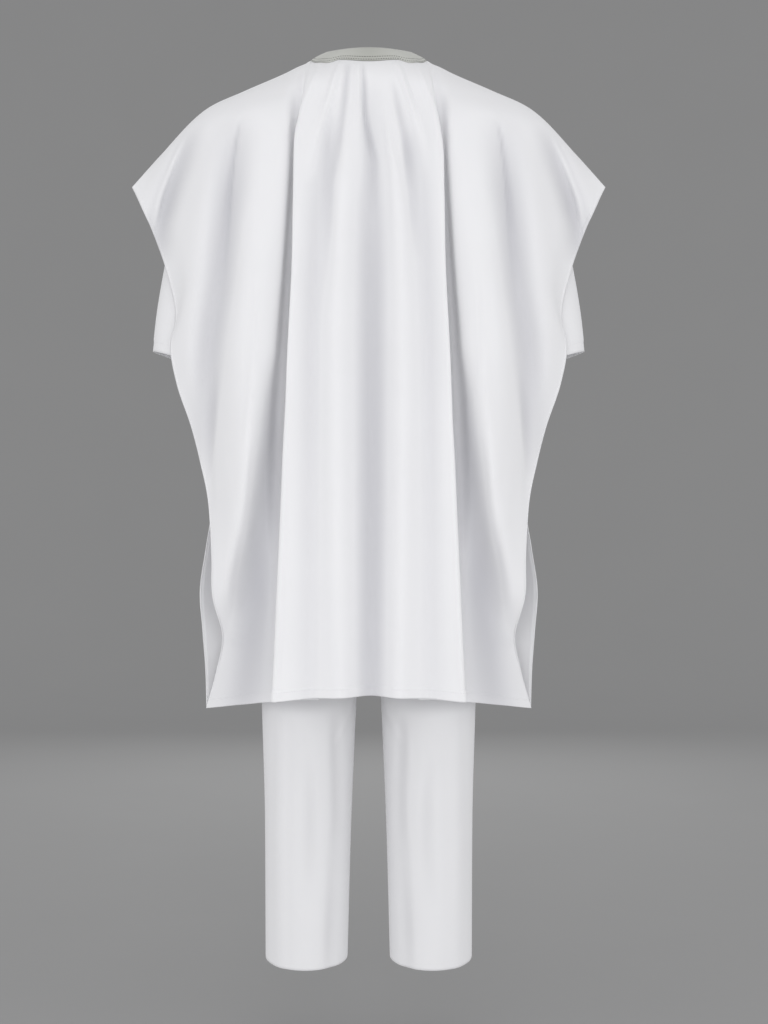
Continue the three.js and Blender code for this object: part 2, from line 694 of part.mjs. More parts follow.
const set = new THREE.Group();
set.add(
  piece("robe_back", [back.middle], ROBE_WALL, white, besideMiddle(back)),
  piece("robe_front", [turned(front.middle)], ROBE_WALL, white, besideMiddle(front).map(turned)),
  piece("robe_wing_left", [back.left, turned(front.left)], ROBE_WALL, white, besideLeftWing),
  piece("robe_wing_right", [back.right, turned(front.right)], ROBE_WALL, white, besideRightWing),
  piece("robe_neckband", [neckband(back.middle[0], front.middle[0])], BAND_WALL, grey),
  piece("tunic_back", [tunicPanel(BACK)], TUNIC_WALL, white),
  piece("tunic_front", [turned(tunicPanel(FRONT))], TUNIC_WALL, white),
  piece("tunic_sleeve_left", sleeve(LEFT), TUNIC_WALL, white),
  piece("tunic_sleeve_right", sleeve(RIGHT), TUNIC_WALL, white),
  piece("trouser_back_left", trouserPanel(BACK, LEFT), TROUSER_WALL, white),
  piece("trouser_back_right", trouserPanel(BACK, RIGHT), TROUSER_WALL, white),
  piece("trouser_front_left", trouserPanel(FRONT, LEFT), TROUSER_WALL, white),
  piece("trouser_front_right", trouserPanel(FRONT, RIGHT), TROUSER_WALL, white),
  piece("trouser_waistband", [waistband()], TROUSER_WALL, white),
);

export default set;
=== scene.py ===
"""Looks of a three-piece kaftan set: a wide open-sided robe with a stand-up neckband, over a short-sleeved tunic and
straight trousers. It hangs hollow, as worn. Tables of sizes are in millimetres, and the meshes are in metres."""
import math

import bmesh
import bpy
import numpy as np
from mathutils import Matrix, Vector


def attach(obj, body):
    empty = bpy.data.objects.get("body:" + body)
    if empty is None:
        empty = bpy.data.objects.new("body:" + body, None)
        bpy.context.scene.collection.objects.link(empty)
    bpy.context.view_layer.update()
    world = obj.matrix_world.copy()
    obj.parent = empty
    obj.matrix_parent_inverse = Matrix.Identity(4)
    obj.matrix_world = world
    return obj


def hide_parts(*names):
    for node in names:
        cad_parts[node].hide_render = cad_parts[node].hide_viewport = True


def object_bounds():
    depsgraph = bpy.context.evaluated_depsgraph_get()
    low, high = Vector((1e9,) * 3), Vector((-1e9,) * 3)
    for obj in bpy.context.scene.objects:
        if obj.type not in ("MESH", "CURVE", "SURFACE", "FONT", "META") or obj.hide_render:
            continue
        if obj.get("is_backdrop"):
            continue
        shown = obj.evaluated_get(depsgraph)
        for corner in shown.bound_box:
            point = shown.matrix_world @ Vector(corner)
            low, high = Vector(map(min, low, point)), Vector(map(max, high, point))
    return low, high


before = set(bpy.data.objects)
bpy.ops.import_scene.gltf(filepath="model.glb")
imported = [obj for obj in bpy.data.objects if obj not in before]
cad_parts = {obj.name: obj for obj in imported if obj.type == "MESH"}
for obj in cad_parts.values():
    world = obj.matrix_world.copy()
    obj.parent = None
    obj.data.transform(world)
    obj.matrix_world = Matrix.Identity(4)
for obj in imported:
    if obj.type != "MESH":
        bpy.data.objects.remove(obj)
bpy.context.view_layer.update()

# The robe's long middle lengths, back and front.
# Each is one length of smooth white plain-woven cotton, a little glossy from pressing. Its side edges are folded
# under and sewn to the side lengths deep inside the two long pleats, and its foot has a narrow turned hem.
BACK = -1
FRONT = 1
LEVELS = [-90, -160, -235, -350, -490, -605, -720, -835, -925]
HEM_HEIGHT = -1012
HEM_PLEAT_DIP = 8
HEM_CORNER_HEIGHT = -1047
# Lines down the cloth from the middle to the side: where each starts over the shoulder (out, height, slant), and
# how far out and deep it passes each level and the hem.
LINES = [
    ((0, 8, 0), [0] * 10, [121, 138, 147, 151, 152, 153, 155, 157, 158, 160]),
    ((39, 5, 0), [41, 45, 46, 47, 50, 51, 53, 55, 56, 58], [121, 138, 147, 151, 152, 153, 155, 157, 158, 160]),
    ((66, -3, 0.06), [72, 78, 79, 81, 85, 88, 91, 94, 97, 100], [120, 138, 148, 152, 153, 154, 156, 158, 159, 161]),
    ((84, -2, 0.25), [101, 113, 115, 117, 124, 128, 132, 137, 141, 146],
     [117, 139, 150, 154, 155, 156, 157, 159, 160, 162]),
    ((89, -1, 0.25), [103, 110, 110, 111, 117, 121, 125, 130, 134, 139],
     [109, 129, 139, 142, 143, 144, 145, 147, 148, 150]),
    ((94, 0, 0.25), [100, 101, 98, 95, 92, 89, 86, 83, 80, 77], [103, 123, 132, 133, 133, 133, 132, 132, 131, 130]),
    ((101, -4, 0.25), [104, 107, 105, 102, 100, 97, 94, 91, 88, 85],
     [98, 117, 123, 122, 120, 119, 118, 117, 116, 115]),
    ((114, -10, 0.22), [113, 117, 119, 125, 133, 138, 140, 142, 144, 146],
     [100, 119, 122, 120, 118, 116, 112, 107, 102, 96]),
    ((135, -20, 0.18), [131, 126, 129, 136, 147, 151, 156, 160, 163, 166],
     [108, 133, 142, 145, 143, 135, 120, 104, 95, 86]),
    ((200, -51, 0.08), [199, 197, 194, 190, 192, 186, 180, 180, 180, 190],
     [82, 126, 143, 149, 147, 138, 118, 94, 82, 71]),
    ((264, -82, 0), [262, 258, 250, 238, 238, 222, 206, 202, 200, 215], [22, 88, 118, 130, 128, 121, 103, 79, 65, 49]),
    ((324, -139, 0), [322, 318, 306, 283, 276, 252, 230, 226, 219, 240], [0, 28, 66, 98, 106, 101, 87, 67, 50, 26]),
]
WING_TIP = (383, 0, -204)
# The side length's free edge from its tip to the hem's corner: height, out, deep.
BACK_EDGE = [
    (-235, 367, 16), (-290, 343, 34), (-345, 321, 50), (-420, 304, 62), (-470, 312, 69), (-527, 302, 73),
    (-600, 278, 75), (-718, 251, 74), (-800, 245, 68), (-860, 245, 58), (-925, 233, 42), (-985, 244, 18),
    (HEM_CORNER_HEIGHT, 262, 1.5),
]
FRONT_EDGE = [
    (-235, 368, 18), (-290, 346, 38), (-345, 322, 54), (-470, 300, 70), (-600, 268, 72), (-725, 261, 68),
    (-790, 270, 62), (-860, 279, 52), (-925, 273, 38), (-985, 266, 18), (HEM_CORNER_HEIGHT, 262, 1.5),
]
FRONT_SHARE = [(-90, 0.82), (-160, 0.92), (-260, 1)]
ROUNDING_ANGLES = (12, 36, 62)
ROUNDING_REACH = 70
PLEAT_HEM_OUT = 146
ROOT_HEM_OUT = 77
SIDE_HEM_WIDTH = 185
EDGE = len(LINES)
PLEAT_UNDER = 4
SEAM = PLEAT_UNDER + 0.5
NECK_HALF_WIDTH = 93
NECK_CUT_LIMIT = 0.2
HALVINGS = 20
SHOULDER_FADE = 0.05
NECK_DEPTH = {BACK: 88, FRONT: 86}
# Main folds: inner and outer width, then height, place and how far the fold stands out.
MIDDLE_FOLDS = [
    (26, 26, [(-40, -8, 0), (-100, -3, -7), (-190, 5, -12), (-400, 5, -21), (-700, 5, -23), (-1020, 4, -20)]),
    (24, 26, [(-60, -26, 0), (-140, -31, 6), (-300, -42, 12), (-470, -49, 15), (-700, -48, 17), (-1020, -43, 14)]),
    (24, 26, [(-80, 22, 0), (-160, 30, 5), (-300, 48, 12), (-480, 52, 15), (-700, 51, 17), (-1020, 46, 14)]),
    (20, 22, [(-60, -56, 0), (-150, -62, -7), (-300, -78, -11), (-480, -86, -10), (-700, -88, -8), (-1020, -92, -6)]),
    (22, 20, [(-60, 62, 0), (-150, 74, -7), (-300, 84, -10), (-480, 92, -9), (-700, 94, -8), (-1020, 98, -6)]),
]
WING_FOLDS = [
    (32, 56, [(-230, 156, 0), (-345, 164, 12), (-490, 172, 17), (-585, 180, 24), (-665, 193, 32), (-750, 206, 38),
              (-850, 226, 34), (-940, 232, 0)]),
    (28, 30, [(-110, 203, 0), (-170, 210, -13), (-255, 217, -22), (-370, 228, -24), (-465, 243, -23),
              (-550, 250, -18), (-690, 258, 0)]),
    (24, 24, [(-115, 276, 0), (-170, 298, -18), (-240, 324, -25), (-290, 336, -18), (-340, 336, 0)]),
]


def at_height(rows, place, z):
    """One column of a table at heights z, eased through its rows, which run from high to low."""
    table = np.array([[float(n) for n in row] for row in rows])
    heights, values = table[:, 0], table[:, place]
    secant = np.diff(values) / np.diff(heights)
    above, below = np.append(secant[0], secant), np.append(secant, secant[-1])
    product = above * below
    slope = np.where(product > 0, 2 * product / np.where(product > 0, above + below, 1), 0)
    z = np.clip(z, heights[-1], heights[0])
    i = np.clip(np.searchsorted(-heights, -z, side="right") - 1, 0, len(heights) - 2)
    span = heights[i + 1] - heights[i]
    t = (z - heights[i]) / span
    bend = slope[i] * span * t * (1 - t) ** 2 - slope[i + 1] * span * t**2 * (1 - t)
    return values[i] + (values[i + 1] - values[i]) * t * t * (3 - 2 * t) + bend


def through(points, t):
    """The centripetal curve through points at t, which counts them. A point may be a whole row of points."""
    points = np.asarray(points, float)
    points = np.concatenate([[2 * points[0] - points[1]], points, [2 * points[-1] - points[-2]]])
    i = np.clip(np.floor(t).astype(int), 0, len(points) - 4)
    t = (t - i)[:, None]
    own = () if points.ndim == 2 else (np.arange(len(i)),)
    p0, p1, p2, p3 = (points[(i + k, *own)] for k in range(4))
    d0, d1, d2 = (np.sqrt(np.linalg.norm(b - a, axis=1))[:, None] for a, b in ((p0, p1), (p1, p2), (p2, p3)))
    d1 = np.where(d1 < 1e-4, 1, d1)
    d0, d2 = np.where(d0 < 1e-4, d1, d0), np.where(d2 < 1e-4, d1, d2)
    start = ((p1 - p0) / d0 - (p2 - p0) / (d0 + d1) + (p2 - p1) / d1) * d1
    end = ((p2 - p1) / d1 - (p3 - p1) / (d1 + d2) + (p3 - p2) / d2) * d1
    turn = 2 * p1 - 2 * p2 + start + end
    sweep = -3 * p1 + 3 * p2 - 2 * start - end
    return p1 + start * t + sweep * t**2 + turn * t**3


CURVE_STEPS = 201


def along(points, share):
    """The curve through points at shares of its length."""
    t = np.linspace(0, len(points) - 1, CURVE_STEPS)
    steps = np.linalg.norm(np.diff(through(points, t), axis=0), axis=1)
    length = np.append(0, np.cumsum(steps))
    return through(points, np.interp(share * length[-1], length, t))


def mix(a, b, share):
    return a + (b - a) * share


def robe_line(number, face):
    """The points of one line down the robe's back or front, on the wearer's right."""
    if number == EDGE:
        edge = BACK_EDGE if face == BACK else FRONT_EDGE
        return [(WING_TIP[0], 0, WING_TIP[2])] + [(out, face * deep, z) for z, out, deep in edge]
    (top_out, top_z, slant), outs, deeps = LINES[number]
    wide = outs[-1]
    hem = HEM_HEIGHT - HEM_PLEAT_DIP * (wide / PLEAT_HEM_OUT) ** 2
    if number > PLEAT_UNDER:
        side_share = (wide - ROOT_HEM_OUT) / SIDE_HEM_WIDTH
        hem = mix(HEM_HEIGHT - HEM_PLEAT_DIP, HEM_CORNER_HEIGHT, side_share**1.5)
    heights = np.array([*LEVELS, hem], float)
    share = at_height(FRONT_SHARE, 1, heights) if face == FRONT else np.ones(len(heights))
    below = [(o, d * s, z) for o, d, s, z in zip(outs, deeps, share, heights) if z < top_z - ROUNDING_REACH]
    rounding = []
    for angle in ROUNDING_ANGLES:
        over, drop = math.sin(math.radians(angle)), 1 - math.cos(math.radians(angle))
        out, deep, z = below[0]
        rounding.append((mix(top_out, out, (over + drop) / 2), deep * over, mix(top_z, z, mix(drop, over, slant))))
    return [(out, face * deep, z) for out, deep, z in [(top_out, 0, top_z), *rounding, *below]]


def robe_cloth(face, places, shares):
    """Points of the robe's cloth. A place counts the lines from the middle, negative on the wearer's left, and a
    share is how far down them."""
    right = np.array([along(robe_line(number, face), shares) for number in range(EDGE + 1)])
    left = right[:0:-1] * (-1, 1, 1)
    return through(np.concatenate([left, right]), places + EDGE)


def neck_cut(face, places):
    """How far down each column the neckline cuts it, found by halving."""
    def inside(shares):
        p = robe_cloth(face, places, shares)
        return (p[:, 0] / NECK_HALF_WIDTH) ** 2 + (p[:, 1] / NECK_DEPTH[face]) ** 2 < 1

    low, high = np.zeros(len(places)), np.full(len(places), NECK_CUT_LIMIT)
    for _ in range(HALVINGS):
        middle = (low + high) / 2
        within = inside(middle)
        low, high = np.where(within, middle, low), np.where(within, high, middle)
    return np.where(inside(np.zeros(len(places))), high, 0)


def folding(folds, x, z):
    """How far a list of main folds moves the cloth at a point."""
    moved = np.zeros(len(x))
    for inner, outer, path in folds:
        centre = at_height(path, 1, z)
        aside = x - centre
        width = np.where(aside * np.where(centre < 0, -1, 1) < 0, inner, outer)
        reach = np.minimum(1, np.abs(aside) / (2 * width))
        moved += at_height(path, 2, z) * np.cos(reach * math.pi / 2) ** 4
    return moved


def robe_points(face, places, downs):
    """A grid of points of the robe's cloth from the neckline or the shoulder to the hem, with its main folds, and how
    far they move it."""
    start = neck_cut(face, places)
    grid_places = np.tile(places, len(downs))
    shares = (start[None, :] + (1 - start[None, :]) * downs[:, None]).ravel()
    points = robe_cloth(face, grid_places, shares)
    fade = np.clip((shares - np.tile(start, len(downs))) / SHOULDER_FADE, 0, 1)
    fade = fade * fade * (3 - 2 * fade)
    moved = folding(WING_FOLDS, np.abs(points[:, 0]), points[:, 2])
    moved += folding(MIDDLE_FOLDS, -face * points[:, 0], points[:, 2])
    moved *= fade
    points[:, 1] += face * moved
    return points.reshape(len(downs), len(places), 3), moved.reshape(len(downs), len(places))


def creased(points, creases, x, z, share=1, turned=0):
    """The grid with fine creases, which move it along its own normals, and how far they do. A crease is height, place,
    how far it stands out, and its width towards the middle and towards the side. A turned hem stands out too."""
    across = np.gradient(points, axis=1)
    down = np.gradient(points, axis=0)
    normals = np.cross(down, across)
    normals /= np.linalg.norm(normals, axis=2, keepdims=True) + 1e-9
    moved = np.zeros(points.shape[:2])
    for path in creases:
        centre, high, inner, outer = (at_height(path, place, z) for place in (1, 2, 3, 4))
        aside = x - centre
        width = np.where(aside * np.where(centre < 0, -1, 1) < 0, inner, outer)
        moved += high * np.cos(np.minimum(1, np.abs(aside) / width) * math.pi / 2) ** 2
    moved *= share
    return points + normals * (moved + turned)[:, :, None], moved


def lay_grid(bm, points, darkening=None):
    """A grid of cloth in bm at these points. Its map is in metres: across from the left edge, up from the hem. The
    darkening says how far each point is painted darker: painted shade in folds and creases, a darker middle on the
    neckband."""
    # The attribute hollow holds painted shade for folds and creases, and the neckband's darker middle.
    hollow = bm.verts.layers.float.get("hollow") or bm.verts.layers.float.new("hollow")
    rows, columns = points.shape[0] - 1, points.shape[1] - 1
    made = bmesh.ops.create_grid(bm, x_segments=columns, y_segments=rows, size=0.5)["verts"]
    metres = points / 1000
    across = np.linalg.norm(np.diff(metres, axis=1), axis=2)
    across = np.concatenate([np.zeros((rows + 1, 1)), np.cumsum(across, axis=1)], axis=1)
    across = np.broadcast_to(np.median(across, axis=0), across.shape)
    up = np.linalg.norm(np.diff(metres, axis=0), axis=2)[::-1]
    up = np.concatenate([np.zeros((1, columns + 1)), np.cumsum(up, axis=0)])[::-1]
    cut = bm.loops.layers.uv.verify()
    for vertex in made:
        i, j = round((vertex.co.x + 0.5) * columns), round((0.5 - vertex.co.y) * rows)
        vertex.co = metres[j, i]
        vertex[hollow] = 0 if darkening is None else darkening[j, i]
        for loop in vertex.link_loops:
            loop[cut].uv = (across[j, i], up[j, i])


MERGE_DISTANCE = 0.00002


def finish_cloth(name, bm, wall, material):
    """The object of a bmesh of cloth: merged, smooth and with its wall."""
    bmesh.ops.remove_doubles(bm, verts=bm.verts, dist=MERGE_DISTANCE)
    for face in bm.faces:
        face.smooth = True
    mesh = bpy.data.meshes.new(name)
    bm.to_mesh(mesh)
    bm.free()
    cloth = bpy.data.objects.new(name, mesh)
    bpy.context.scene.collection.objects.link(cloth)
    mesh.materials.append(material)
    thickness = cloth.modifiers.new("wall", "SOLIDIFY")
    thickness.thickness = wall / 1000
    thickness.offset = 0
    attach(cloth, "root")
    return cloth


def linear(code):
    """A colour from sRGB hex, made linear."""
    parts = [int(code[i : i + 2], 16) / 255 for i in (0, 2, 4)]
    return [p / 12.92 if p <= 0.04045 else ((p + 0.055) / 1.055) ** 2.4 for p in parts] + [1]


def add_node(material, kind, settings=(), inputs=(), links=()):
    """A node with its settings, its socket values and its links from other nodes' sockets."""
    node = material.node_tree.nodes.new(kind)
    for name, value in dict(settings).items():
        setattr(node, name, value)
    for socket, value in dict(inputs).items():
        node.inputs[socket].default_value = value
    for socket, source in dict(links).items():
        material.node_tree.links.new(source, node.inputs[socket])
    return node


# A wave texture of this scale has bands one unit apart.
WAVE_BANDS = 0.314


# Pressed plain-woven cotton: nearly white, a little cool, matt with a faint sheen at grazing angles. The threads are
# 0.3 mm apart, too fine to show, and are drawn 1.2 mm apart; thicker threads run here and there.
# The depth of a fold or crease is painted a cooler, darker shade (the colour deep), on top of its shape.
def woven_cotton(name, colour, shade, deep, thread=1.2, roughness=0.78, sheen=0.2):
    material = bpy.data.materials.new(name)
    material.use_nodes = True
    shader = material.node_tree.nodes["Principled BSDF"]
    links = material.node_tree.links
    cut = add_node(material, "ShaderNodeUVMap", {"uv_map": "UVMap"}).outputs[0]
    weave = []
    for direction in ("X", "Y"):
        settings = {"wave_type": "BANDS", "bands_direction": direction}
        scale = {"Scale": WAVE_BANDS / (thread / 1000), "Distortion": 0.6, "Detail": 1.0, "Detail Scale": 0.3}
        weave.append(add_node(material, "ShaderNodeTexWave", settings, scale, {"Vector": cut}).outputs["Fac"])
    threads = add_node(material, "ShaderNodeMath", {"operation": "MAXIMUM"}, (), {0: weave[0], 1: weave[1]})
    stretch = add_node(material, "ShaderNodeMapping", (), {"Scale": (140, 12, 1)}, {"Vector": cut})
    slub = add_node(material, "ShaderNodeTexNoise", (), {"Scale": 1.0, "Detail": 3.0},
                    {"Vector": stretch.outputs[0]})
    place = add_node(material, "ShaderNodeTexCoord").outputs["Object"]
    cloud = add_node(material, "ShaderNodeTexNoise", (), {"Scale": 9.0, "Detail": 4.0}, {"Vector": place})
    tone = add_node(material, "ShaderNodeMix", {"data_type": "RGBA"}, {6: linear(colour), 7: linear(shade)},
                    {0: cloud.outputs["Fac"]})
    # The attribute hollow mixes in the colour deep: painted shade in folds and creases.
    fold = add_node(material, "ShaderNodeAttribute", {"attribute_name": "hollow"})
    folded = add_node(material, "ShaderNodeMix", {"data_type": "RGBA"}, {7: linear(deep)},
                      {0: fold.outputs["Fac"], 6: tone.outputs[2]})
    rough = add_node(material, "ShaderNodeMapRange", (), {3: roughness - 0.05, 4: roughness + 0.05},
                     {0: slub.outputs["Fac"]})
    soft = add_node(material, "ShaderNodeBump", (), {"Strength": 0.5, "Distance": 0.0006},
                    {"Height": slub.outputs["Fac"]})
    fine = add_node(material, "ShaderNodeBump", (), {"Strength": 0.35, "Distance": 0.0001},
                    {"Height": threads.outputs[0], "Normal": soft.outputs[0]})
    links.new(folded.outputs[2], shader.inputs["Base Color"])
    links.new(rough.outputs[0], shader.inputs["Roughness"])
    links.new(fine.outputs[0], shader.inputs["Normal"])
    shader.inputs["Sheen Weight"].default_value = sheen
    shader.inputs["Sheen Roughness"].default_value = 0.5
    shader.inputs["Specular IOR Level"].default_value = 0.3
    return material


robe_cotton = woven_cotton("white_pressed_cotton", "E9E9EB", "E4E4E6", "BFBFC4")
ROBE_WALL = 1.6
HEM_START = 0.98
ROWS = 150
ROW_CROWDING = 1.5
HEM_ROWS = [0.982, 0.984, 0.9855, 0.987, 0.99, 0.994, 0.998, 1]
HEM_TURN = 0.985
HEM_STANDS_OUT = 0.9
downs = np.linspace(0, HEM_START ** (1 / ROW_CROWDING), ROWS) ** ROW_CROWDING
downs = np.concatenate([downs, HEM_ROWS])
hem_turned = np.where(downs > HEM_TURN, HEM_STANDS_OUT, 0)[:, None]
STITCH_ROW = -5
# Fine creases that run down from the neckband, and the crisp pressed edges of the two pleats. Sunk creases are painted
# darker too.
BACK_CREASES = [
    [(-22, -43, 2.5, 8, 8), (-72, -57, 5, 8, 9), (-120, -72, 5, 9, 12), (-172, -84, 3, 12, 14),
     (-227, -90, 0, 14, 16)],
    [(-25, -32, -2.5, 8, 8), (-90, -38, -5, 10, 10), (-148, -46, -5, 12, 12), (-230, -54, 0, 14, 14)],
    [(-22, -17, 2.5, 7, 7), (-72, -17, 4.5, 7, 7), (-120, -17, 4.5, 9, 9), (-172, -15, 2, 10, 10),
     (-250, -14, 0, 12, 12)],
    [(-30, -9, -2, 5, 5), (-72, -7, -4.5, 6, 6), (-109, -6, -5, 7, 7), (-148, 0, -5, 9, 9), (-195, 7, -3, 12, 12),
     (-280, 8, 0, 14, 14)],
    [(-24, 43, 2.5, 8, 8), (-79, 60, 5, 8, 8), (-120, 73, 4, 10, 10), (-172, 85, 1.5, 12, 12),
     (-227, 91, 0, 14, 14)],
    [(-50, 36, 0, 8, 8), (-109, 48, -4, 10, 10), (-160, 58, -4, 12, 12), (-240, 64, 0, 14, 14)],
    [(-30, 77, 1, 7, 7), (-76, 91, 2.4, 8, 8), (-109, 101, 2.4, 8, 8), (-170, 107, 0, 9, 9)],
    [(-99, 24, 0, 7, 7), (-156, 31, 4.5, 9, 9), (-211, 40, 5, 13, 13), (-281, 45, 3, 18, 18),
     (-404, 49, 0, 22, 22)],
    [(-36, -78, 1, 7, 7), (-92, -99, 2.4, 8, 8), (-127, -111, 2.4, 8, 8), (-185, -113, 0, 9, 9)],
    [(-110, -55, 0, 12, 12), (-172, -61, -3, 14, 14), (-250, -61, -3.5, 16, 16), (-327, -62, -2, 16, 16),
     (-420, -65, 0, 18, 18)],
    [(-131, 61, 0, 12, 12), (-184, 65, -3, 14, 14), (-250, 68, -3, 14, 14), (-343, 73, 0, 16, 16)],
    [(-560, -126, 0, 10, 6), (-660, -129, 2, 10, 6), (-900, -139, 2.4, 10, 6), (-1030, -145, 2, 10, 6)],
    [(-580, 126, 0, 10, 6), (-680, 130, 2, 10, 6), (-900, 139, 2.4, 10, 6), (-1030, 145, 2, 10, 6)],
]
FRONT_CREASES = [
    [(-60, -50, 1.5, 8, 8), (-110, -62, 3, 9, 9), (-170, -74, 2.4, 10, 12), (-250, -84, 0, 12, 14)],
    [(-60, 18, -1, 6, 6), (-120, 16, -2.6, 8, 8), (-190, 10, -2.6, 10, 10), (-300, 6, 0, 14, 14)],
    [(-60, 34, 1.5, 8, 8), (-130, 42, 3, 10, 10), (-210, 48, 3, 14, 14), (-330, 52, 0, 18, 18)],
    [(-70, 66, 1, 7, 7), (-130, 84, 2.4, 9, 9), (-200, 96, 0, 10, 10)],
    [(-110, -40, 0, 10, 10), (-200, -52, -3, 13, 13), (-310, -58, -2.4, 16, 16), (-440, -62, 0, 18, 18)],
    [(-600, -127, 0, 10, 6), (-700, -131, 2, 10, 6), (-900, -139, 2.2, 10, 6), (-1030, -145, 2, 10, 6)],
    [(-560, 125, 0, 10, 6), (-660, 129, 2, 10, 6), (-900, 139, 2.2, 10, 6), (-1030, 145, 2, 10, 6)],
]
# The fold depth at which the painted shade is full, and how much more a crease counts towards it.
FULL_SHADE_DEPTH = 34
CREASE_SHADE_WEIGHT = 3.4
PANEL_ENDS = 3.3
PANEL_FADE = 0.2
BAND_HOLDS = 0.018


def painted_fold_shade(folds, creases):
    """How far the cloth is painted with the shade of a deep fold, from how far folds and creases move it."""
    return np.clip(-(folds + CREASE_SHADE_WEIGHT * creases) / FULL_SHADE_DEPTH, 0, 1)


def sew(bm, line, pitch=4.0, length=2.7, thick=0.5):
    """A row of stitches in bm along a line."""
    line = np.asarray(line)
    gone = np.append(0, np.cumsum(np.linalg.norm(np.diff(line, axis=0), axis=1)))
    for start in np.arange(pitch, gone[-1] - pitch / 2, pitch):
        ends = [[np.interp(at, gone, line[:, k]) for k in range(3)] for at in (start - length, start)]
        ends = [Vector(end) / 1000 for end in ends]
        way = ends[1] - ends[0]
        size = Matrix.Diagonal((way.length / 2, thick / 2000, thick / 2000, 1))
        turn = way.to_track_quat("X", "Z").to_matrix().to_4x4()
        place = Matrix.Translation((ends[0] + ends[1]) / 2)
        bmesh.ops.create_uvsphere(bm, u_segments=6, v_segments=4, radius=1, matrix=place @ turn @ size)


# Polyester sewing thread: smooth and a little glossy, its tone uneven from stitch to stitch.
def sewing_thread(name, colour, shade):
    material = bpy.data.materials.new(name)
    material.use_nodes = True
    place = add_node(material, "ShaderNodeTexCoord").outputs["Object"]
    uneven = add_node(material, "ShaderNodeTexNoise", (), {"Scale": 400.0}, {"Vector": place})
    tone = add_node(material, "ShaderNodeMix", {"data_type": "RGBA"}, {6: linear(colour), 7: linear(shade)},
                    {0: uneven.outputs["Fac"]})
    shader = material.node_tree.nodes["Principled BSDF"]
    material.node_tree.links.new(tone.outputs[2], shader.inputs["Base Color"])
    shader.inputs["Roughness"].default_value = 0.45
    return material


def finish_stitches(name, bm, material):
    """The object of a bmesh of stitches."""
    for face in bm.faces:
        face.smooth = True
    mesh = bpy.data.meshes.new(name)
    bm.to_mesh(mesh)
    bm.free()
    stitches = bpy.data.objects.new(name, mesh)
    mesh.materials.append(material)
    bpy.context.scene.collection.objects.link(stitches)
    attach(stitches, "root")
    return stitches


white_thread = sewing_thread("white_thread", "E2E2E4", "CFCFD2")
THREAD_STANDS_OUT = 0.9
MIDDLE_SEWN = slice(12, -12)
BACK_COLUMNS = 126
FRONT_COLUMNS = 108


def middle_length(name, face, columns, creases):
    """One of the two long middle lengths. Gives its points, whose first row is the neckline."""
    places = np.linspace(-SEAM, SEAM, columns + 1)
    points, folds = robe_points(face, places, downs)
    share = np.clip((PANEL_ENDS - np.abs(places)) / PANEL_FADE, 0, 1)[None, :]
    share = share * np.clip(downs / BAND_HOLDS, 0, 1)[:, None]
    if face == FRONT:
        points, folds, share = points[:, ::-1], folds[:, ::-1], share[:, ::-1]
    points, fine = creased(points, creases, -face * points[:, :, 0], points[:, :, 2], share, hem_turned)
    bm = bmesh.new()
    lay_grid(bm, points, painted_fold_shade(folds * share, fine))
    cloth = finish_cloth(name + "_cloth", bm, ROBE_WALL, robe_cotton)
    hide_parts(name)
    bm = bmesh.new()
    sew(bm, points[STITCH_ROW, MIDDLE_SEWN] + (0, face * THREAD_STANDS_OUT, 0))
    stitches = finish_stitches(name + "_stitches", bm, white_thread)
    return points


back_points = middle_length("robe_back", BACK, BACK_COLUMNS, BACK_CREASES)
front_points = middle_length("robe_front", FRONT, FRONT_COLUMNS, FRONT_CREASES)

# The robe's two side lengths.
# Each is one length of the same cotton from the back hem over the shoulder to the front hem. Its outer edges are
# open, with a narrow rolled hem, and are tacked together at the bottom corner.
EDGE_ROLL = 11.93
EDGE_COLUMNS = [11.9, 11.92, 11.94, 11.97, EDGE]
MIDDLE_OF_WING = 9
side_cuts = [np.linspace(SEAM, MIDDLE_OF_WING, 34)[:-1], np.linspace(MIDDLE_OF_WING, 11.88, 36), EDGE_COLUMNS]
side_cuts = np.concatenate(side_cuts)
WING_SEWN = slice(3, -3)
TURN_STARTS = 0.02
CREASES_START = 0.03
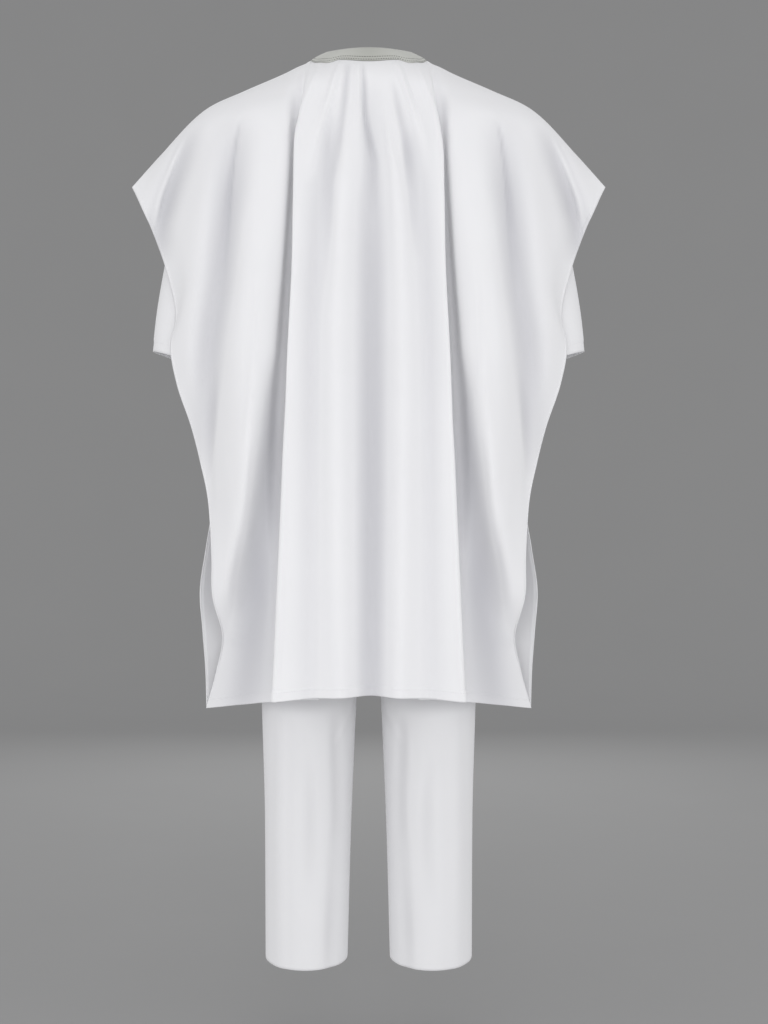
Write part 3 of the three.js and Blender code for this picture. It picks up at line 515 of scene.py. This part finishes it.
# Creases of the side lengths, by distance from the middle: beside the gap, at the armpit, along the shoulder's rim,
# in the gap and in the low recess. Sunk creases are painted darker too, and the low recess takes the full painted
# shade.
WING_CREASES = {
    BACK: [
        [(-300, 160, 0, 8, 8), (-449, 170, 3, 8, 10), (-540, 178, 3, 8, 10), (-640, 188, 0, 10, 10)],
        [(-115, 124, 0, 5, 6), (-150, 129, 2, 5, 6), (-209, 135, 0, 5, 6)],
        [(-115, 198, 0, 5, 5), (-150, 206, -3.4, 5, 7), (-220, 214, -3.4, 6, 12), (-300, 220, -2, 8, 16),
         (-390, 229, 0, 10, 20)],
        [(-130, 292, 0, 6, 8), (-180, 314, 4, 6, 9), (-235, 337, 4, 6, 9), (-290, 348, 0, 6, 8)],
        [(-500, 236, 0, 12, 14), (-600, 247, -3.4, 14, 16), (-660, 250, -3, 14, 14), (-740, 246, 0, 14, 14)],
        [(-170, 112, 0, 8, 8), (-260, 119, -1.5, 12, 10), (-350, 124, -2, 15, 13), (-450, 132, -2, 20, 17),
         (-600, 142, -2.5, 26, 26), (-700, 144, -2, 26, 26), (-800, 144, 0, 26, 26)],
        [(-480, 146, 0, 16, 16), (-560, 152, -5, 26, 26), (-640, 160, -7, 36, 34), (-726, 168, -8, 50, 42),
         (-840, 182, -10, 66, 52), (-907, 190, -9, 72, 52), (-959, 194, -8, 72, 50), (-1015, 200, -7, 72, 54),
         (-1047, 206, -4, 66, 56)],
    ],
    FRONT: [
        [(-320, 158, 0, 8, 8), (-430, 168, 3, 8, 10), (-560, 182, 2.4, 8, 10), (-650, 190, 0, 10, 10)],
        [(-120, 202, 0, 5, 5), (-160, 208, -3, 5, 8), (-260, 217, -3, 8, 14), (-410, 230, 0, 10, 20)],
        [(-135, 290, 0, 6, 8), (-190, 314, 2.2, 6, 9), (-240, 334, 2.2, 6, 9), (-300, 346, 0, 6, 8)],
        [(-620, 158, 0, 20, 24), (-760, 164, -5, 22, 28), (-900, 170, -6, 26, 34), (-1040, 186, 0, 20, 30)],
    ],
}
for side, name in ((-1, "robe_wing_left"), (1, "robe_wing_right")):
    bm = bmesh.new()
    thread = bmesh.new()
    for face in (BACK, FRONT):
        points, folds = robe_points(face, side_cuts * side, downs)
        turned = np.maximum(hem_turned, np.where(side_cuts > EDGE_ROLL, HEM_STANDS_OUT, 0)[None, :])
        if side * face != BACK:
            points, folds, turned = points[:, ::-1], folds[:, ::-1], turned[:, ::-1]
        turned = turned * np.clip((downs[:, None] - TURN_STARTS) / TURN_STARTS, 0, 1)
        share = np.clip((downs - CREASES_START) / CREASES_START, 0, 1)[:, None]
        aside, height = np.abs(points[:, :, 0]), points[:, :, 2]
        points, fine = creased(points, WING_CREASES[face], aside, height, share, turned)
        lay_grid(bm, points, painted_fold_shade(folds, fine))
        sew(thread, points[STITCH_ROW, WING_SEWN] + (0, face * THREAD_STANDS_OUT, 0))
    wing = finish_cloth(name + "_cloth", bm, ROBE_WALL, robe_cotton)
    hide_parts(name)
    stitches = finish_stitches(name + "_stitches", thread, white_thread)

# The neckband.
# A closed stand-up band of doubled grey cotton twill, turned over the neckline and held by twin rows of darker
# thread at its foot. It leans in to a smaller top.
band_twill = woven_cotton("grey_twill", "C6C7C2", "B9BAB5", "A9AAA4", thread=1.6, roughness=0.85, sheen=0.1)
BAND_TOP_HALF_WIDTH = 68
BAND_TOP_DEPTH = {BACK: 76, FRONT: 68}
BAND_RISE_FRONT = 22
BAND_RISE_SIDE = 13.3
BAND_TOP_BACK = 2.3
BAND_TOP_SIDE = 14.6
BAND_TOP_CURVE = 1.6
BAND_STITCH_SHARES = [0.1, 0.29]
BAND_WALL = 2.2
BAND_LIFT = 1.3
BAND_SWELL = 2
BAND_ROWS = 13
BAND_TONE = 0.8
BAND_TONE_HALF_WIDTH = 36
BAND_THREAD = 1.0
BAND_THREAD_STANDS_OUT = 1.5
shoulder_left = [[-NECK_HALF_WIDTH, 0, 0]]
shoulder_right = [[NECK_HALF_WIDTH, 0, 0]]
foot = np.concatenate([shoulder_left, back_points[0], shoulder_right, front_points[0], shoulder_left])
LOW_ROW = 7
BAND_DIPS = 64
BAND_DIP_WIDTH = 21
BAND_CLEAR = 1.2
low_foot = [shoulder_left, back_points[LOW_ROW], shoulder_right, front_points[LOW_ROW], shoulder_left]
low_foot = np.concatenate(low_foot)
from_dip = np.clip(np.abs(np.abs(foot[:, 0]) - BAND_DIPS) / BAND_DIP_WIDTH, 0, 1)
dip = np.cos(from_dip * math.pi / 2)[:, None] ** 2
away = foot * (1, 1, 0)
away /= np.linalg.norm(away, axis=1, keepdims=True)
foot_edge = mix(foot, low_foot, dip) + away * dip * BAND_CLEAR


def band_points(foot, rises):
    """The band's points over its foot line, for each share of its rise. The foot dips once on each side,
    at the back and at the front."""
    x, y, z = foot.T
    face = np.where(y < 0, BACK, FRONT)
    turn = np.arccos(np.clip(np.abs(x) / NECK_HALF_WIDTH, 0, 1))
    depth = np.where(face == BACK, BAND_TOP_DEPTH[BACK], BAND_TOP_DEPTH[FRONT])
    front_top = z + BAND_LIFT + mix(BAND_RISE_SIDE, BAND_RISE_FRONT, np.sin(turn) ** 2)
    back_top = mix(BAND_TOP_BACK, BAND_TOP_SIDE, (1 - np.sin(turn)) ** BAND_TOP_CURVE)
    top_z = np.where(face == BACK, back_top, front_top)
    top = np.stack([x / NECK_HALF_WIDTH * BAND_TOP_HALF_WIDTH, face * depth * np.sin(turn), top_z], 1)
    base = foot_edge + (0, 0, BAND_LIFT)
    swell = np.stack([np.sign(x) * np.cos(turn), face * np.sin(turn), 0 * x], 1)
    return np.array([mix(base, top, t) + BAND_SWELL * math.sin(t * math.pi) * swell for t in rises])


bm = bmesh.new()
# The band's colour is darker round the middle of the back and of the front, through the attribute hollow.
middle_tone = np.exp(-((foot[:, 0] / BAND_TONE_HALF_WIDTH) ** 2)) * BAND_TONE
lay_grid(bm, band_points(foot, np.linspace(1, 0, BAND_ROWS)), np.tile(middle_tone, (BAND_ROWS, 1)))
neckband = finish_cloth("neckband_cloth", bm, BAND_WALL, band_twill)
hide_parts("robe_neckband")
grey_thread = sewing_thread("grey_thread", "3E3F3B", "5A5B56")
bm = bmesh.new()
for row in band_points(foot, BAND_STITCH_SHARES):
    sew(bm, row + away * BAND_THREAD_STANDS_OUT, thick=BAND_THREAD)
band_stitches = finish_stitches("neckband_stitches", bm, grey_thread)

# The tunic.
# Two panels of the same cotton, sewn at the shoulders and sides, with short sleeves set in at the armholes. It is
# hidden under the robe, and only the sleeve ends show at the open sides.
TUNIC_WALL = 1.6
SEAM_GAP = 0.3
TUNIC_LEVELS = [-100, -168, -265, -400, -560, -740, -900]
TUNIC_LINES = [
    ((0, 84, -40), [0] * 7, [103, 114, 118, 117, 115, 115, 116]),
    ((58, 60, -38), [56, 56, 56, 56, 58, 60, 62], [100, 113, 117, 115, 113, 113, 114]),
    ((98, 0, -9), [99, 100, 102, 102, 105, 108, 112], [88, 106, 111, 108, 106, 105, 105]),
    ((148, 0, -33), [148, 147, 148, 147, 150, 155, 161], [68, 92, 98, 94, 90, 87, 86]),
]
ARMHOLE_OUT, ARMHOLE_Z, ARMHOLE_TILT, ARMHOLE_HEIGHT, ARMHOLE_DEPTH = 195, -168, math.radians(82), 97, 74
TUNIC_ROWS = 90
TUNIC_COLUMNS = 80
TUNIC_ROW_CROWDING = 1.3
TUNIC_NECK_DEPTH = 84
TUNIC_FRONT_DROP = 60
TUNIC_ROUNDING_REACH = 30
ARMHOLE_ANGLES = (90, 60, 30, 0, -30, -60, -88)
SIDE_SEAM = [(180, -300), (180, -400), (185, -560), (191, -740), (198, -900)]
tunic_cotton = woven_cotton("white_shirting", "E9E9EB", "E4E4E6", "C8C8CB")


def tunic_points(face, rows, columns):
    """A grid of points of a tunic panel, whose last line runs round the armhole and down the side seam."""
    lines = []
    for (out, deep, z), outs, deeps in TUNIC_LINES:
        z -= TUNIC_FRONT_DROP * deep / TUNIC_NECK_DEPTH if face == FRONT else 0
        share = np.ones(len(TUNIC_LEVELS))
        if face == FRONT:
            share = at_height(FRONT_SHARE, 1, np.array(TUNIC_LEVELS, float))
        levels = zip(outs, deeps, share, TUNIC_LEVELS)
        levels = [(o, d * s, h) for o, d, s, h in levels if h < z - TUNIC_ROUNDING_REACH]
        half = (mix(out, levels[0][0], 0.3), mix(deep, levels[0][1], 0.72), mix(z, levels[0][2], 0.4))
        lines.append([(o, face * d, h) for o, d, h in [(out, deep, z), half, *levels]])
    armhole = []
    for angle in ARMHOLE_ANGLES:
        tall = ARMHOLE_HEIGHT * math.sin(math.radians(angle))
        deep = SEAM_GAP / 2 + ARMHOLE_DEPTH * math.cos(math.radians(angle))
        armhole.append((ARMHOLE_OUT + tall * math.cos(ARMHOLE_TILT), face * deep,
                        ARMHOLE_Z + tall * math.sin(ARMHOLE_TILT)))
    lines.append(armhole + [(out, face * SEAM_GAP / 2, z) for out, z in SIDE_SEAM])
    shares = np.repeat(np.linspace(0, 1, rows + 1) ** TUNIC_ROW_CROWDING, columns + 1)
    right = np.array([along(line, shares) for line in lines])
    rings = np.concatenate([right[:0:-1] * (-1, 1, 1), right])
    points = through(rings, np.tile(np.linspace(0, len(rings) - 1, columns + 1), rows + 1))
    points[:, 1] = face * np.maximum(face * points[:, 1], SEAM_GAP / 2)
    points = points.reshape(rows + 1, columns + 1, 3)
    return points if face == BACK else points[:, ::-1]


TUNIC_CREASES = [
    [(-190, -58, 0, 26, 26), (-420, -70, -4, 28, 30), (-700, -66, -6, 30, 34), (-905, -74, -7, 30, 34)],
    [(-260, 30, 0, 26, 26), (-520, 44, -4, 28, 30), (-905, 52, -7, 32, 34)],
    [(-480, -8, 0, 16, 16), (-700, -12, -3, 20, 20), (-905, -16, -5, 22, 22)],
]
for face, name in ((BACK, "tunic_back"), (FRONT, "tunic_front")):
    bm = bmesh.new()
    points = tunic_points(face, TUNIC_ROWS, TUNIC_COLUMNS)
    points, fine = creased(points, TUNIC_CREASES, -face * points[:, :, 0], points[:, :, 2])
    lay_grid(bm, points, painted_fold_shade(0, fine))
    panel = finish_cloth(name + "_cloth", bm, TUNIC_WALL, tunic_cotton)
    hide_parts(name)

# Rings down the sleeve from the armhole: out, height, tilt, half width, half depth.
SLEEVE_RINGS = [
    (196.8, -168.3, 82, 97, 74), (224, -192, 62, 88, 70), (243, -250, 40, 78, 66), (263, -348, 24, 70, 61),
    (277, -425, 18, 68, 58), (287, -489, 17, 65, 56),
]
SLEEVE_ROWS = 66
SLEEVE_COLUMNS = 72
SLEEVE_HEM_TURN = 0.945
SLEEVE_HEM_STANDS_OUT = 0.8
SLEEVE_STITCH_ROW = -4
SLEEVE_THREAD_SHARE = 0.012


def sleeve_points(side, rows, columns):
    """A grid of points round and down a sleeve."""
    angles = np.linspace(0, 2 * math.pi, columns + 1) * -side
    rings = []
    for out, z, tilt, half_width, half_depth in SLEEVE_RINGS:
        wide, tilt = half_width * np.cos(angles), math.radians(tilt)
        ring = [side * (out + wide * math.cos(tilt)), half_depth * np.sin(angles), z + wide * math.sin(tilt)]
        rings.append(np.stack(ring, 1))
    steps = np.linspace(0, len(rings) - 1, rows + 1)
    return np.array([through(np.array(rings), np.full(columns + 1, step)) for step in steps])


# Creases of a sleeve: share of the way down (negative), share of the way round, and so on.
SLEEVE_CREASES = [
    [(-0.2, 0.2, 0, 0.05, 0.05), (-0.5, 0.22, -3, 0.06, 0.06), (-0.9, 0.2, 0, 0.06, 0.06)],
    [(-0.3, 0.36, 0, 0.05, 0.05), (-0.7, 0.34, -3, 0.06, 0.06), (-1, 0.33, -2, 0.06, 0.06)],
    [(-0.25, 0.68, 0, 0.05, 0.05), (-0.6, 0.7, -3, 0.06, 0.06), (-1, 0.72, -2, 0.06, 0.06)],
]
for side, name in ((-1, "tunic_sleeve_left"), (1, "tunic_sleeve_right")):
    bm = bmesh.new()
    points = sleeve_points(side, SLEEVE_ROWS, SLEEVE_COLUMNS)
    down = np.linspace(0, 1, SLEEVE_ROWS + 1)[:, None] * np.ones(SLEEVE_COLUMNS + 1)
    around = np.ones((SLEEVE_ROWS + 1, 1)) * np.linspace(0, 1, SLEEVE_COLUMNS + 1)
    hem = np.where(down > SLEEVE_HEM_TURN, SLEEVE_HEM_STANDS_OUT, 0)
    points, fine = creased(points, SLEEVE_CREASES, around, -down, 1, hem)
    lay_grid(bm, points, painted_fold_shade(0, fine))
    thread = bmesh.new()
    line = points[SLEEVE_STITCH_ROW]
    sew(thread, line + (line - line.mean(axis=0)) * SLEEVE_THREAD_SHARE)
    stitches = finish_stitches(name + "_stitches", thread, white_thread)
    sleeve = finish_cloth(name + "_cloth", bm, TUNIC_WALL, tunic_cotton)
    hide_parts(name)

# The trousers.
# Four leg panels of the same cotton with a band round the waist. They hang straight, with a soft crease or two, and
# carry a painted shadow under the robe's hem.
TROUSER_WALL = 1.6
TROUSER_TOP = -470
TROUSER_HEM = -1447
TROUSER_ROWS = 130
TROUSER_COLUMNS = 60
TROUSER_HEM_ROWS = [-1430, -1436, -1443, TROUSER_HEM]
SEAM_TURN = 0.003
BACK_HEM_DIP = 7
BACK_HEM_REACH = 100
# Sections: height, outer seam, inner line, back and front depth, a leg's bulge, and how far it is a closed leg.
TROUSER_SECTIONS = [
    (-470, 158, 0.15, 92, 96, 50, 0), (-560, 166, 0.15, 101, 100, 60, 0), (-640, 173, 0.15, 104, 99, 76, 0.05),
    (-710, 176, 1, 103, 98, 88, 0.35), (-750, 177, 3, 102, 97, 86, 0.75), (-790, 177, 8, 100, 96, 84, 1),
    (-900, 175, 15, 100, 96, 82, 1), (-1040, 172, 21, 100, 96, 77, 1), (-1230, 167, 29, 100, 96, 72, 1),
    (-1447, 166, 35, 100, 96, 70, 1),
]
trouser_cotton = woven_cotton("white_trouser_cotton", "E2E2E4", "DDDDDF", "C2C2C5")
TROUSER_CREASES = [
    [(-1040, 52, 0, 12, 12), (-1100, 52, -3.4, 14, 14), (-1200, 50, -3.4, 14, 14), (-1280, 54, -2, 16, 16),
     (-1390, 60, -3.4, 16, 16), (-1447, 62, -2, 14, 14)],
    [(-1040, 139, 0, 14, 14), (-1100, 139, 2.4, 16, 16), (-1266, 141, 2.4, 16, 16), (-1447, 140, 1.5, 16, 16)],
    [(-1020, 24, 0, 5, 6), (-1040, 28, 2.4, 5, 7), (-1070, 40, 2.4, 6, 8), (-1100, 54, 0, 8, 8)],
    [(-1100, 96, 0, 14, 14), (-1220, 92, -2.4, 18, 18), (-1360, 98, 0, 20, 20)],
    [(-520, 60, 0, 14, 14), (-700, 70, -3, 18, 18), (-900, 80, 0, 20, 20)],
    # A broad, shallow dip across each leg just under the robe's hem. Its fold shade paints the shadow that the hem
    # casts on the legs.
    [(-1000, 95, -5, 90, 90), (-1024, 95, -5, 80, 80), (-1050, 95, 0, 60, 60)],
]


def trouser_points(face, side, heights, turns):
    """Points of one half of the trousers. A turn runs from 0 at the outer seam to half a turn at the inner one."""
    z, turn = (grid.ravel() for grid in np.meshgrid(heights, turns, indexing="ij"))
    outseam, inner, back, front, bulge, leg = (at_height(TROUSER_SECTIONS, place, z) for place in range(1, 7))
    body = back if face == BACK else front
    hips_out, hips_deep = outseam * np.cos(turn / 2), body * np.sin(turn / 2)
    leg_out, leg_deep = mix(outseam, inner, (1 - np.cos(turn)) / 2), bulge * np.sin(turn)
    out = np.maximum(mix(hips_out, leg_out, leg), inner)
    points = np.stack([side * out, face * mix(hips_deep, leg_deep, leg), z], 1)
    return points.reshape(len(heights), len(turns), 3)


for face, side, name in ((BACK, -1, "trouser_back_left"), (BACK, 1, "trouser_back_right"),
                         (FRONT, -1, "trouser_front_left"), (FRONT, 1, "trouser_front_right")):
    heights = np.concatenate([np.linspace(TROUSER_TOP, -1425, TROUSER_ROWS), TROUSER_HEM_ROWS])
    turns = np.linspace(SEAM_TURN, math.pi - SEAM_TURN, TROUSER_COLUMNS + 1)
    points = trouser_points(face, side, heights, turns)
    if face == BACK:
        low = np.clip((points[:, :, 2] - TROUSER_HEM) / BACK_HEM_REACH, 0, 1)
        points[:, :, 2] -= BACK_HEM_DIP * np.sin(turns)[None, :] * (1 - low * low * (3 - 2 * low))
    points = points if side * face == 1 else points[:, ::-1]
    points, fine = creased(points, TROUSER_CREASES, np.abs(points[:, :, 0]), points[:, :, 2],
                           np.sin(turns)[None, :] ** 0.5)
    bm = bmesh.new()
    lay_grid(bm, points, painted_fold_shade(0, fine))
    leg = finish_cloth(name + "_cloth", bm, TROUSER_WALL, trouser_cotton)
    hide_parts(name)

# The waistband, one closed ring on the four panels' top edges.
WAISTBAND_HEIGHT = 38
WAISTBAND_ROWS = 9
WAIST_QUARTER = 31
quarter = {
    (face, side): trouser_points(face, side, [TROUSER_TOP], np.linspace(0, math.pi, WAIST_QUARTER))[0]
    for face in (BACK, FRONT) for side in (-1, 1)
}
waist = np.concatenate([quarter[BACK, -1][:-1], quarter[BACK, 1][:0:-1], quarter[FRONT, 1][:-1],
                        quarter[FRONT, -1][::-1]])
waist_heights = TROUSER_TOP + SEAM_GAP + np.linspace(1, 0, WAISTBAND_ROWS) * WAISTBAND_HEIGHT
bm = bmesh.new()
lay_grid(bm, np.array([np.stack([waist[:, 0], waist[:, 1], 0 * waist[:, 0] + z], 1) for z in waist_heights]))
waistband = finish_cloth("trouser_waistband_cloth", bm, TROUSER_WALL, trouser_cotton)
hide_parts("trouser_waistband")

# The studio.
# A plain pale round cove, whose floor rises smoothly into its wall, so that it is the same from every side.
cove_paint = bpy.data.materials.new("matt_cove_paint")
cove_paint.use_nodes = True
grain = add_node(cove_paint, "ShaderNodeTexNoise", (), {"Scale": 3.0},
                 {"Vector": add_node(cove_paint, "ShaderNodeTexCoord").outputs["Object"]})
paint = add_node(cove_paint, "ShaderNodeMix", {"data_type": "RGBA"}, {6: linear("9B9B9B"), 7: linear("9D9D9D")},
                 {0: grain.outputs["Fac"]})
cove_shader = cove_paint.node_tree.nodes["Principled BSDF"]
cove_paint.node_tree.links.new(paint.outputs[2], cove_shader.inputs["Base Color"])
cove_shader.inputs["Roughness"].default_value = 1
cove_shader.inputs["Specular IOR Level"].default_value = 0
FLOOR = -1.6
COVE_RADIUS = 4.5
COVE_CURVE = 1.5
COVE_STEPS = 12
COVE_WALL = 4
bm = bmesh.new()
bmesh.ops.create_circle(bm, cap_ends=True, segments=96, radius=COVE_RADIUS)
rim = list(bm.edges)
for step in range(1, COVE_STEPS + 1):
    angle = step / COVE_STEPS * math.pi / 2
    made = bmesh.ops.extrude_edge_only(bm, edges=rim)["geom"]
    rim = [part for part in made if isinstance(part, bmesh.types.BMEdge)]
    ring = [part for part in made if isinstance(part, bmesh.types.BMVert)]
    for vertex in ring:
        flat = Vector((vertex.co.x, vertex.co.y, 0)).normalized()
        rise = Vector((0, 0, COVE_CURVE * (1 - math.cos(angle))))
        vertex.co = flat * (COVE_RADIUS + COVE_CURVE * math.sin(angle)) + rise
made = bmesh.ops.extrude_edge_only(bm, edges=rim)["geom"]
bmesh.ops.translate(bm, verts=[part for part in made if isinstance(part, bmesh.types.BMVert)], vec=(0, 0, COVE_WALL))
bmesh.ops.translate(bm, verts=bm.verts, vec=(0, 0, FLOOR))
bmesh.ops.recalc_face_normals(bm, faces=bm.faces)
for face in bm.faces:
    face.smooth = len(face.verts) == 4
cove_mesh = bpy.data.meshes.new("cove")
bm.to_mesh(cove_mesh)
bm.free()
cove = bpy.data.objects.new("cove", cove_mesh)
cove_mesh.materials.append(cove_paint)
bpy.context.scene.collection.objects.link(cove)
cove.visible_shadow = False
cove.visible_diffuse = False
cove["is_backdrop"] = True

world = bpy.data.worlds.new("soft_dome")
bpy.context.scene.world = world
world.use_nodes = True
world.node_tree.nodes["Background"].inputs["Color"].default_value = linear("FBFBFC")
world.node_tree.nodes["Background"].inputs["Strength"].default_value = 0.69


def soft_light(name, place, aim, size, power):
    """A large square lamp with a soft edge, turned to a point and out of the camera's sight."""
    lamp = bpy.data.lights.new(name, "AREA")
    lamp.size = size
    lamp.energy = power
    holder = bpy.data.objects.new(name, lamp)
    holder.location = place
    holder.rotation_euler = (Vector(aim) - Vector(place)).to_track_quat("-Z", "Y").to_euler()
    holder.visible_camera = False
    bpy.context.scene.collection.objects.link(holder)


soft_light("front", (0, -3.4, -0.5), (0, 0, -0.73), 1.2, 18)
soft_light("top", (0, -1.6, 2.2), (0, 0, -0.7), 1.6, 9)
soft_light("left_side", (-2.6, -1.7, -0.5), (0, 0, -0.7), 1.6, 11)
soft_light("right_side", (2.6, -1.7, -0.5), (0, 0, -0.7), 1.6, 11)
soft_light("low", (0, -2.6, -1.5), (0, 0, -0.9), 1.6, 7)
soft_light("far_side", (0, 3.4, 0.4), (0, 0, -0.73), 2.0, 20)

# The camera, level with the middle of the set. Half the photo's height is this many metres at the set.
CAMERA_AWAY = 2.8
CAMERA_HEIGHT = -0.7295
HALF_PHOTO = 0.8294
SENSOR = 36
PHOTO_HEIGHT = 1024
PHOTO_SHIFT = 15.3
camera_data = bpy.data.cameras.new("camera")
camera_data.sensor_width = SENSOR
camera_data.lens = SENSOR / 2 / (HALF_PHOTO / CAMERA_AWAY)
camera_data.shift_x = PHOTO_SHIFT / PHOTO_HEIGHT
camera = bpy.data.objects.new("camera", camera_data)
camera.location = (0, -CAMERA_AWAY, CAMERA_HEIGHT)
camera.rotation_euler = (math.pi / 2, 0, 0)
bpy.context.scene.collection.objects.link(camera)
bpy.context.scene.camera = camera
bpy.context.scene.view_settings.view_transform = "Standard"

low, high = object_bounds()
